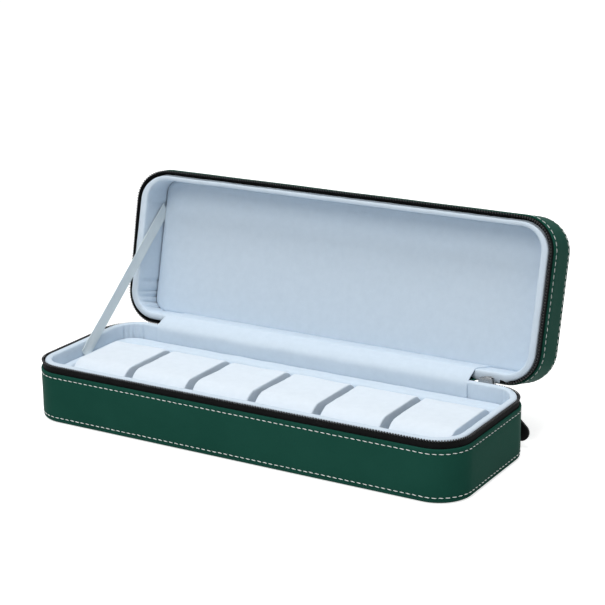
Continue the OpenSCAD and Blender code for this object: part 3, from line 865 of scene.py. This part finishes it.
select_edges(cushion, lambda e: along_x(e, cushion_top - 1 * mm, 1))
bpy.ops.mesh.bevel(offset=shoulder_in, segments=1, affect="EDGES")
mesh = bmesh.from_edit_mesh(cushion.data)
for v in mesh.verts:
    if abs(abs(v.co.y) - cushion_half_l) < 0.1 * mm and v.co.z > cushion_bottom + 5 * mm:
        v.co.z = cushion_top - shoulder_down
bmesh.update_edit_mesh(cushion.data)
select_edges(cushion, lambda e: along_x(e, cushion_bottom + 5 * mm, 1))
bpy.ops.mesh.bevel(offset=4 * mm, segments=5, affect="EDGES")
select_edges(cushion, lambda e: along_x(e, -1, cushion_bottom + 1 * mm))
bpy.ops.mesh.bevel(offset=3.5 * mm, segments=4, affect="EDGES")
for axis, low, high, cells in ((0, -cushion_half_w, cushion_half_w, 18),
                               (1, -cushion_half_l, cushion_half_l, 26),
                               (2, cushion_bottom, cushion_top, 10)):
    for k in range(1, cells):
        cut_place, cut_way = Vector((0, 0, 0)), Vector((0, 0, 0))
        cut_place[axis] = low + (high - low) * k / cells
        cut_way[axis] = 1
        bpy.ops.mesh.select_all(action="SELECT")
        bpy.ops.mesh.bisect(plane_co=cut_place, plane_no=cut_way)


def side_seam(edge):
    facing = [abs(face.normal.x) > 0.9 for face in edge.link_faces]
    return len(facing) == 2 and facing[0] != facing[1]


select_edges(cushion, side_seam)
bpy.ops.mesh.bevel(offset=0.8 * mm, segments=2, affect="EDGES")
bpy.ops.object.mode_set(mode="OBJECT")
bpy.ops.object.shade_smooth()

# The cover is blown up between its seams, which are held. How far it swells is then kept
# within a limit, and mostly off its flat sides.
cloth_frames = 20
most_swell = 1.4 * mm
side_share = 0.25
rest_places = [v.co.copy() for v in cushion.data.vertices]
seams = cushion.vertex_groups.new(name="seams")
for v in cushion.data.vertices:
    on_seam = abs(v.co.x) > cushion_half_w - 0.9 * mm and abs(v.normal.x) < 0.97
    if on_seam or v.co.z < cushion_bottom + 1.0 * mm:
        seams.add([v.index], 1.0, "REPLACE")
cloth = cushion.modifiers.new("cover", "CLOTH")
cloth.settings.quality = 6
cloth.settings.mass = 0.25
cloth.settings.tension_stiffness = 12
cloth.settings.compression_stiffness = 12
cloth.settings.bending_stiffness = 0.6
cloth.settings.use_pressure = True
cloth.settings.uniform_pressure_force = 4.0
cloth.settings.effector_weights.gravity = 0
cloth.settings.vertex_group_mass = "seams"
cloth.collision_settings.use_collision = False
cloth.point_cache.frame_start, cloth.point_cache.frame_end = 1, cloth_frames
for step in range(1, cloth_frames + 1):
    bpy.context.scene.frame_set(step)
apply_all(cushion)
bpy.context.scene.frame_set(1)
for v, rest in zip(cushion.data.vertices, rest_places):
    moved = v.co - rest
    moved.x *= side_share
    v.co = rest + moved * min(most_swell / max(moved.length, 1e-9), 1)
cushion.vertex_groups.clear()

finer = cushion.modifiers.new("finer", "SUBSURF")
finer.levels = finer.render_levels = 1
apply_all(cushion)

for number in range(1, 7):
    piece = cushion.copy()
    piece.data = cushion.data.copy()
    bpy.context.collection.objects.link(piece)
    piece.name = f"pillow_{number}_cushion"
    low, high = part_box(f"pillow_{number}_cover")
    middle = Vector(((low.x + high.x) / 2, (low.y + high.y) / 2, 0))
    facing = [v.normal.copy() for v in piece.data.vertices]
    for v, normal in zip(piece.data.vertices, facing):
        own = Vector((v.co.x, v.co.y, v.co.z + number * 0.3))
        near_seam = math.exp(-((cushion_half_w - abs(v.co.x)) / (4 * mm)) ** 2)
        pucker = math.sin(v.co.y / (1.9 * mm) + number) * noise.noise(own / (7 * mm))
        swell = pillow_sway * noise.noise(own / (15 * mm)) + seam_pucker * near_seam * pucker
        v.co += normal * swell
    piece.data.transform(Matrix.Translation(middle))
    stand_in(piece, pillow_velvet, f"pillow_{number}", f"pillow_{number}_cover")
bpy.data.objects.remove(cushion)


# ---- Lid panel ----
# A thin board padded with foam and wrapped in velvet is pressed into the lid. Its soft edge
# leaves a dark line against the wall lining at the left and the right.
panel_low_level = 4.3 * mm
panel_high_level = 9.4 * mm
panel_depth = 7.75 * mm
panel_front_depth = 7.0 * mm
panel_back_depth = 6.7 * mm
panel_crown = 0.6 * mm
panel_sway = 0.4 * mm
panel_half_length = half_length - panel_depth
panel_low = (-panel_half_length, panel_front_depth - half_depth, panel_low_level)
panel_high = (panel_half_length, half_depth - panel_back_depth, panel_high_level)
panel = rounded_slab("lid_panel_velvet", panel_low, panel_high, radius=10 * mm, steps=14)
soften(panel, voxel=1.4 * mm, rounds=2)
for v in panel.data.vertices:
    if v.co.z > panel_low_level + 3 * mm:
        edge = min(panel_half_length - abs(v.co.x), half_depth - panel_depth - abs(v.co.y))
        crown = 1 - math.exp(-max(edge, 0) / (14 * mm))
        v.co.z += panel_crown * crown + panel_sway * noise.noise(v.co / (38 * mm))
swing_to_lid(panel)
stand_in(panel, lining_velvet, "lid", "lid_lining_panel")


# ---- Soft hinge ----
# Inside, one velvet strip runs from the ledge up the back wall, over both rims and along the
# lid's wall to its panel. Outside, a strip of the green leather joins the two back walls.
def swung(y, z):
    """Place in the open lid of a point of the shut lid's cross-section, in millimetres."""
    return lid_swing @ Vector((0, y * mm, z * mm))


def mirrored_in_lid(y, z):
    """The lid's counterpart of a point of the base's cross-section."""
    return swung(y, 2 * seam_level / mm - z)


def smooth_path(points, count):
    """Even points along a smooth curve through the given ones."""
    bpy.ops.curve.primitive_bezier_curve_add()
    guide = bpy.context.object
    spline = guide.data.splines[0]
    spline.bezier_points.add(len(points) - 2)
    for knot, point in zip(spline.bezier_points, points):
        knot.co = point
        knot.handle_left_type = knot.handle_right_type = "AUTO"
    guide.data.resolution_u = 16
    bpy.context.view_layer.update()
    bpy.ops.object.convert(target="MESH")
    line = [v.co.copy() for v in bpy.context.object.data.vertices]
    bpy.data.objects.remove(bpy.context.object)
    reach = [0.0]
    for a, b in zip(line, line[1:]):
        reach.append(reach[-1] + (b - a).length)
    made = []
    for k in range(count):
        want = reach[-1] * k / (count - 1)
        i = max(j for j in range(len(line) - 1) if reach[j] <= want + 1e-12)
        share = (want - reach[i]) / max(reach[i + 1] - reach[i], 1e-12)
        made.append(line[i].lerp(line[i + 1], share))
    return made


def sheet_along(name, path, low_x, high_x, columns):
    """Sheet whose rows follow a path in the cross-section, from one place along X to another."""
    bpy.ops.mesh.primitive_grid_add(x_subdivisions=columns, y_subdivisions=len(path) - 1, size=2)
    piece = bpy.context.object
    piece.name = name
    for v in piece.data.vertices:
        row = round((v.co.y + 1) / 2 * (len(path) - 1))
        v.co = (low_x + (v.co.x + 1) / 2 * (high_x - low_x), path[row].y, path[row].z)
    return piece


def thicken(piece, thickness, bevel):
    """Gives a sheet its thickness, half on each side, and rounds its edges."""
    wall = piece.modifiers.new("wall", "SOLIDIFY")
    wall.thickness = thickness
    wall.offset = 0
    bevel_edges(piece, bevel, 2, sharp=50)
    bpy.ops.object.mode_set(mode="EDIT")
    bpy.ops.mesh.select_all(action="SELECT")
    bpy.ops.mesh.normals_make_consistent(inside=False)
    bpy.ops.object.mode_set(mode="OBJECT")
    bpy.ops.object.shade_smooth_by_angle(angle=math.radians(50))


strip_low_x = -125.5 * mm
strip_high_x = 117.3 * mm
strip_bend_y = 47.7
strip_bend_z = 39.6
base_side = [(47.35, 29.5), (47.3, 33), (47.3, 37), (strip_bend_y, strip_bend_z), (49.0, 41.5)]
strip_points = [Vector((0, y * mm, z * mm)) for y, z in base_side] \
    + [mirrored_in_lid(y, z) for y, z in reversed(base_side[1:])] + [swung(47.3, 69.0)]
strip_path = smooth_path(strip_points, count=46)
hinge_velvet = sheet_along("hinge_velvet", strip_path, strip_low_x, strip_high_x, columns=96)
for v in hinge_velvet.data.vertices:
    ripple = noise.noise(Vector((v.co.x / (26 * mm), v.co.y / (12 * mm), v.co.z / (12 * mm))))
    v.co += Vector((0, -0.25, 0.3)) * mm * ripple
thicken(hinge_velvet, 0.9 * mm, bevel=0.3 * mm)
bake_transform(hinge_velvet, "base", "lid", start=(0, strip_bend_y * mm, strip_bend_z * mm),
         end=mirrored_in_lid(strip_bend_y, strip_bend_z))
stand_in(hinge_velvet, lining_velvet, None, "hinge_lining_strip")

spine_low_x = -120 * mm
spine_high_x = 118.4 * mm
spine_bend_y = 54.25
spine_bend_z = 35.0
spine_base = [(54.2, 33.0), (spine_bend_y, spine_bend_z), (54.4, 37.5), (55.2, 39.3)]
spine_points = [Vector((0, y * mm, z * mm)) for y, z in spine_base] \
    + [mirrored_in_lid(y, z) for y, z in reversed(spine_base[:-1])]
spine_path = smooth_path(spine_points, count=26)
hinge_spine = sheet_along("hinge_spine", spine_path, spine_low_x, spine_high_x, columns=80)
thicken(hinge_spine, 1.0 * mm, bevel=0.3 * mm)
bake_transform(hinge_spine, "base", "lid", start=(0, spine_bend_y * mm, spine_bend_z * mm),
         end=mirrored_in_lid(spine_bend_y, spine_bend_z))
stand_in(hinge_spine, green_leather, None, "hinge_spine_leather")


# ---- Stay ribbon ----
# A satin ribbon is caught between the left wall lining and the tray, and between the lid's
# wall lining and its panel. Pulled straight, it stops the open lid.
ribbon_low, ribbon_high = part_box("stay_ribbon")
ribbon_x = (ribbon_low.x + ribbon_high.x) / 2
ribbon_width = 10 * mm
ribbon_cup = 0.35 * mm
foot_fold = 0.5 * mm
foot_share = 0.16
ribbon_foot = Vector((ribbon_x, -3 * mm, 30.6 * mm))
ribbon_head = swung(-27, 64.5)
ribbon_head.x = ribbon_x
ribbon_length = (ribbon_head - ribbon_foot).length

satin = new_finish("ribbon_satin", (0.75, 0.81, 0.82), 0.35, 0.5, sheen=0.2)
cross_threads = bands(satin, cloth_place(satin), 700.0, "X")
set_shader(satin, Normal=add_bump(satin, cross_threads, 0.03 * mm),
           Base_Color=vary_colour(satin, 12 * mm, (0.72, 0.78, 0.79), (0.78, 0.84, 0.85)))

bpy.ops.mesh.primitive_grid_add(x_subdivisions=8, y_subdivisions=60, size=2)
ribbon = bpy.context.object
ribbon.name = "stay_ribbon_satin"
ribbon_way = (ribbon_head - ribbon_foot).normalized()
ribbon_side = ribbon_way.cross(Vector((1, 0, 0))).normalized()
keep_values(ribbon, "along", lambda co: (co.y + 1) / 2 * ribbon_length)
keep_values(ribbon, "across", lambda co: co.x * ribbon_width / 2)
for v in ribbon.data.vertices:
    share = (v.co.y + 1) / 2
    off = v.co.x
    near_foot = math.exp(-(share / foot_share) ** 2)
    cup = ribbon_cup * off * off + foot_fold * near_foot * math.sin(3.2 * off + 9 * share)
    v.co = ribbon_foot.lerp(ribbon_head, share) + ribbon_side * off * ribbon_width / 2 \
        + Vector((cup + 0.25 * mm, 0, 0))
thicken(ribbon, 0.35 * mm, bevel=0.08 * mm)
held_end = ribbon_way * 4 * mm
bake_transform(ribbon, "base", "lid", start=ribbon_foot + held_end, end=ribbon_head - held_end)
stand_in(ribbon, satin, None, "stay_ribbon")


# ---- Slider and pull ----
# The slider is plated zinc, cast with a bail. A bent wire link hangs in the bail and carries
# the black leather pull, which is folded round the link and glued into a drop shape.
plated_zinc = new_finish("plated_zinc", (0.34, 0.35, 0.36), 0.24, 0.5)
shader_of(plated_zinc).inputs["Metallic"].default_value = 1.0
scuffs = speckle(plated_zinc, 700.0, 4.0)
set_shader(plated_zinc, Roughness=between(plated_zinc, scuffs, 0.16, 0.36),
           Normal=add_bump(plated_zinc, scuffs, 0.015 * mm))
dark_zinc = plated_zinc.copy()
dark_zinc.name = "dark_zinc"
shader_of(dark_zinc).inputs["Base Color"].default_value = (0.06, 0.06, 0.065, 1)

pull_leather = leather_finish("pull_leather", (0.004, 0.004, 0.004), (0.007, 0.007, 0.007),
                              0.7 * mm, roughness=0.5, index=1.25)


def eased_copy(node, name, width, segments, material, body):
    """A copy of a solid for a body, or unridden, with its edges eased where a width is given."""
    piece = frame["nodes"][node].copy()
    piece.data = piece.data.copy()
    piece.parent = None
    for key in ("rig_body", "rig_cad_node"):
        if key in piece:
            del piece[key]
    bpy.context.collection.objects.link(piece)
    piece.name = name
    make_active(piece)
    bpy.ops.object.mode_set(mode="EDIT")
    bpy.ops.mesh.select_all(action="SELECT")
    bpy.ops.mesh.remove_doubles(threshold=0.002 * mm)
    if width:
        bpy.ops.mesh.dissolve_limited(angle_limit=math.radians(2))
    bpy.ops.object.mode_set(mode="OBJECT")
    if width:
        bevel_edges(piece, width, segments)
    bpy.ops.object.shade_smooth_by_angle(angle=math.radians(35))
    piece.data.materials.clear()
    stand_in(piece, material, body, node)
    return piece


eased_copy("zip_slider", "slider_body", 0.18 * mm, 2, plated_zinc, "slider")
eased_copy("pull_link", "pull_link_wire", 0, 0, plated_zinc, "link")
eased_copy("zip_end_stop", "end_stop", 0.2 * mm, 2, dark_zinc, "base")
eased_copy("pull_tab", "pull_tab_leather", 0.55 * mm, 4, pull_leather, "tab")

# The lid's loose tape end is drawn together to the right, clear of the slider and the link.
tail = eased_copy("lid_zip_tail", "zip_tail", 0, 0, tape_black, None)
cad_tail_low_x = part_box("lid_zip_tail")[0].x
tail_low_x = 137.6 * mm
tail_share = 0.4
tail_y = 53.4
for v in tail.data.vertices:
    v.co.x = tail_low_x + tail_share * (v.co.x - cad_tail_low_x)
tail_end = swung(tail_y, seam_level / mm + 0.5)
tail_end.x = lid_tape_back_high_x
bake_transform(tail, "base", "lid", start=(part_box("zip_slider")[1].x, tail_y * mm, seam_level),
         end=tail_end)


# ---- Boards and foam ----
# Grey-brown paper board stiffens the walls and panels, and a foam block fills each pillow.
# They are covered on every side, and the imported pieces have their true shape.
board_finish = new_finish("paper_board", (0.36, 0.27, 0.17), 0.9, 0.2)
fibres = speckle(board_finish, 900.0, 5.0, Distortion=2.0)
set_shader(board_finish, Normal=add_bump(board_finish, fibres, 0.08 * mm),
           Base_Color=vary_colour(board_finish, 5 * mm, (0.30, 0.22, 0.14), (0.42, 0.33, 0.22)))
foam_finish = new_finish("white_foam", (0.80, 0.79, 0.70), 0.95, 0.1)
cells = add_node(foam_finish, "ShaderNodeTexVoronoi",
                 {"Vector": object_place(foam_finish), "Scale": 1100.0}, feature="DISTANCE_TO_EDGE")
set_shader(foam_finish, Normal=add_bump(foam_finish, cells.outputs["Distance"], 0.2 * mm),
           Base_Color=vary_colour(foam_finish, 3 * mm, (0.74, 0.73, 0.64), (0.84, 0.83, 0.75)))
covered = {board_finish: ["base_wall_board", "base_bottom_board", "lid_wall_board",
                          "lid_top_board", "lid_panel_board"],
           foam_finish: [f"pillow_{number}_core" for number in range(1, 7)]}
for material, names in covered.items():
    for node_name in names:
        for slot in frame["nodes"][node_name].material_slots:
            slot.material = material


# ---- Floor, light and background ----
# A plain white floor that keeps the case's soft shadow, with broad light from above and in front.
def seen_directly(owner):
    """1 for what the camera sees, straight or in gloss and glass, and 0 for other light."""
    rays = add_node(owner, "ShaderNodeLightPath").outputs
    seen = add_node(owner, "ShaderNodeMath",
                    {0: rays["Is Camera Ray"], 1: rays["Is Glossy Ray"]}, operation="MAXIMUM")
    return add_node(owner, "ShaderNodeMath",
                    {0: seen.outputs["Value"], 1: rays["Is Transmission Ray"]},
                    operation="MAXIMUM").outputs["Value"]


bpy.ops.mesh.primitive_plane_add(size=24, location=(0, 0, -0.0002))
floor = bpy.context.object
floor.name = "floor"
floor_white = new_finish("floor_white", (0.80, 0.80, 0.80), 1.0, 0.0)
lift = add_node(floor_white, "ShaderNodeMath", {0: seen_directly(floor_white), 1: 0.72},
                operation="MULTIPLY")
glow = add_node(floor_white, "ShaderNodeEmission", {"Strength": lift.outputs["Value"]})
both = add_node(floor_white, "ShaderNodeAddShader",
                {0: shader_of(floor_white).outputs["BSDF"], 1: glow.outputs["Emission"]})
floor_white.node_tree.links.new(
    both.outputs["Shader"], floor_white.node_tree.nodes["Material Output"].inputs["Surface"])
floor.data.materials.append(floor_white)
floor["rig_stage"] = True

world = bpy.data.worlds.new("studio")
bpy.context.scene.world = world
world.use_nodes = True
ambient = world.node_tree.nodes["Background"]
ambient.inputs["Color"].default_value = (0.98, 0.99, 0.98, 1)
ambient.inputs["Strength"].default_value = 0.31
backdrop = add_node(world, "ShaderNodeBackground", {"Strength": 1.0})
surround = add_node(world, "ShaderNodeMixShader",
                    {"Fac": seen_directly(world), 1: ambient.outputs["Background"],
                     2: backdrop.outputs["Background"]})
world.node_tree.links.new(surround.outputs["Shader"],
                          world.node_tree.nodes["World Output"].inputs["Surface"])


def soft_lamp(name, place, aim, size, watts):
    """Broad area lamp that points at a place on the case."""
    bpy.ops.object.light_add(type="AREA", location=place)
    lamp = bpy.context.object
    lamp.name = name
    lamp.data.shape = "SQUARE"
    lamp.data.size = size
    lamp.data.energy = watts
    lamp.rotation_mode = "QUATERNION"
    lamp.rotation_quaternion = (Vector(aim) - Vector(place)).to_track_quat("-Z", "Y")


soft_lamp("lamp_above", (0.0, -0.10, 1.7), aim=(0, 0.05, 0.03), size=1.0, watts=17.5)
soft_lamp("lamp_front", (-0.05, -1.4, 1.45), aim=(0, 0, 0.06), size=0.9, watts=12)

bpy.context.scene.view_settings.view_transform = "Standard"

low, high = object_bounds()
